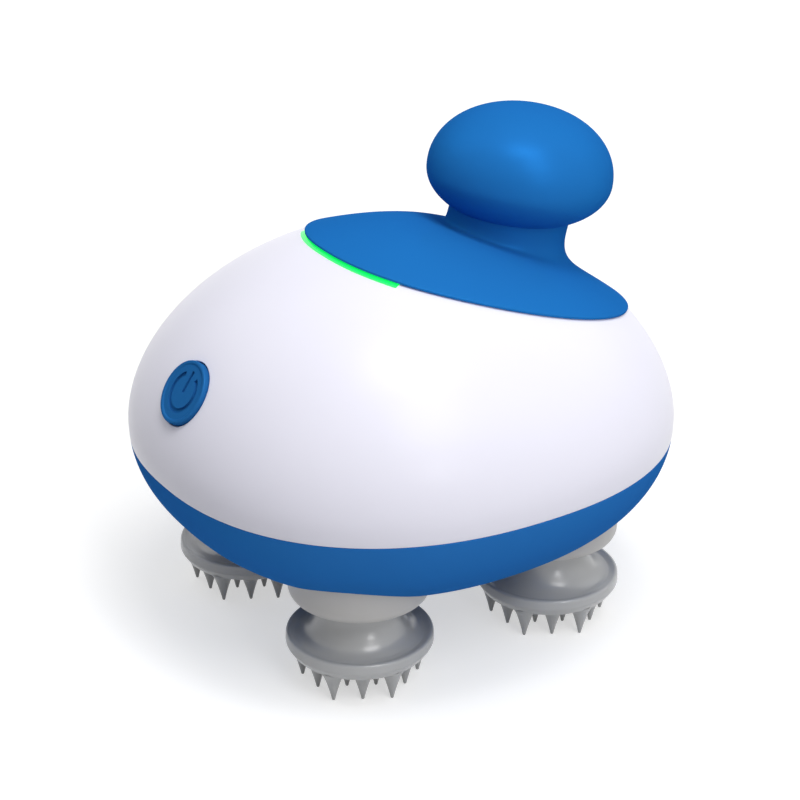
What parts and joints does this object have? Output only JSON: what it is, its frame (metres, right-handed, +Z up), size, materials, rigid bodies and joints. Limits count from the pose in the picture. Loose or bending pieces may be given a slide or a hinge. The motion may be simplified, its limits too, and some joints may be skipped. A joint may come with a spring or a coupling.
{
  "type": "electric scalp massager",
  "caption": "Domed cordless scalp massager with a knob grip, a power button and pronged silicone heads that turn on a coupled gear train.",
  "frame": {"origin": "middle of the body's plan, on the plane of the prong tips that it stands on", "axes": "+X towards the back, away from the power button; +Y to the side; +Z up towards the knob"},
  "size_m": [0.124, 0.1166, 0.1163],
  "materials": {
    "white_shell": "satin",
    "blue_housing": "satin",
    "blue_cap": "satin",
    "blue_knob": "soft satin",
    "steel": "bright",
    "light_guide": "clear green, lit",
    "board_green": "solder mask",
    "led": "clear",
    "blue_button": "satin",
    "black_plastic": "moulded",
    "black_rubber": "matte",
    "frame_plastic": "moulded",
    "gear_white": "acetal",
    "brass": "machined",
    "motor_can": "plated",
    "cell_wrap": "shrink wrap",
    "port_plug": "satin silicone",
    "collar_grey": "satin",
    "silicone_grey": "satin silicone",
    "carrier_plastic": "moulded",
    "shaft_steel": "ground"
  },
  "bodies": {
    "housing": {"upper_shell": "white_shell", "lower_housing": "blue_housing", "housing_gasket": "black_rubber", "top_cap": "blue_cap", "handle_knob": "blue_knob", "knob_screw": "steel", "light_guide": "light_guide", "light_board": "board_green", "green_leds": "led", "tact_switch": "black_plastic", "button_board": "board_green", "gear_deck": "frame_plastic", "motor_plate": "frame_plastic", "sun_axle": "steel", "reduction_axle": "steel", "drive_motor": "motor_can", "battery_cradle": "black_plastic", "battery_cell": "cell_wrap", "main_board": "board_green", "charge_socket": "black_plastic", "gearbox_screws": "steel", "housing_screws": "steel", "board_screws": "steel", "motor_screws": "steel", "shaft_bushes": "brass", "shaft_seals": "black_rubber", "head_collar_1": "collar_grey", "head_collar_2": "collar_grey", "head_collar_3": "collar_grey", "head_collar_4": "collar_grey"},
    "button": {"power_button": "blue_button", "switch_plunger": "black_plastic"},
    "port_cover": {"port_plug": "port_plug"},
    "sun_wheel": {"sun_gear": "gear_white"},
    "reduction_wheel": {"reduction_gear": "frame_plastic"},
    "motor_rotor": {"motor_pinion": "brass"},
    "head_1": {"massage_head_1": "silicone_grey", "head_carrier_1": "carrier_plastic", "output_shaft_1": "shaft_steel", "head_gear_1": "gear_white"},
    "head_2": {"massage_head_2": "silicone_grey", "head_carrier_2": "carrier_plastic", "output_shaft_2": "shaft_steel", "head_gear_2": "gear_white"},
    "head_3": {"massage_head_3": "silicone_grey", "head_carrier_3": "carrier_plastic", "output_shaft_3": "shaft_steel", "head_gear_3": "gear_white"},
    "head_4": {"massage_head_4": "silicone_grey", "head_carrier_4": "carrier_plastic", "output_shaft_4": "shaft_steel", "head_gear_4": "gear_white"}
  },
  "joints": [
    {"name": "button_press", "type": "slide", "parent": "housing", "child": "button", "axis": [0.8211, 0, -0.5707], "range_m": [0, 0.0006], "stiffness_N_per_m": 1200, "springref_m": -0.0004},
    {"name": "port_cover_pull", "type": "slide", "parent": "housing", "child": "port_cover", "axis": [1, 0, 0], "range_m": [0, 0.012]},
    {"name": "sun_gear_turn", "type": "hinge", "parent": "housing", "child": "sun_wheel", "pos_m": [-0.0015, 0, 0.042], "axis": [0, 0, 1], "continuous": true},
    {"name": "reduction_turn", "type": "hinge", "parent": "housing", "child": "reduction_wheel", "pos_m": [0.025, 0, 0.048], "axis": [0, 0, 1], "continuous": true},
    {"name": "motor_turn", "type": "hinge", "parent": "housing", "child": "motor_rotor", "pos_m": [0.00768, 0.01, 0.05], "axis": [0, 0, 1], "continuous": true},
    {"name": "head_1_turn", "type": "hinge", "parent": "housing", "child": "head_1", "pos_m": [-0.02731, -0.02581, 0.02], "axis": [0, 0, 1], "continuous": true},
    {"name": "head_2_turn", "type": "hinge", "parent": "housing", "child": "head_2", "pos_m": [-0.02731, 0.02581, 0.02], "axis": [0, 0, 1], "continuous": true},
    {"name": "head_3_turn", "type": "hinge", "parent": "housing", "child": "head_3", "pos_m": [0.02431, -0.02581, 0.02], "axis": [0, 0, 1], "continuous": true},
    {"name": "head_4_turn", "type": "hinge", "parent": "housing", "child": "head_4", "pos_m": [0.02431, 0.02581, 0.02], "axis": [0, 0, 1], "continuous": true}
  ],
  "couplings": [
    {"joint": "reduction_turn", "follows": "sun_gear_turn", "ratio": -3.4167},
    {"joint": "motor_turn", "follows": "sun_gear_turn", "ratio": 13.667},
    {"joint": "head_1_turn", "follows": "sun_gear_turn", "ratio": -1.2812},
    {"joint": "head_2_turn", "follows": "sun_gear_turn", "ratio": -1.2812},
    {"joint": "head_3_turn", "follows": "sun_gear_turn", "ratio": -1.2812},
    {"joint": "head_4_turn", "follows": "sun_gear_turn", "ratio": -1.2812}
  ]
}
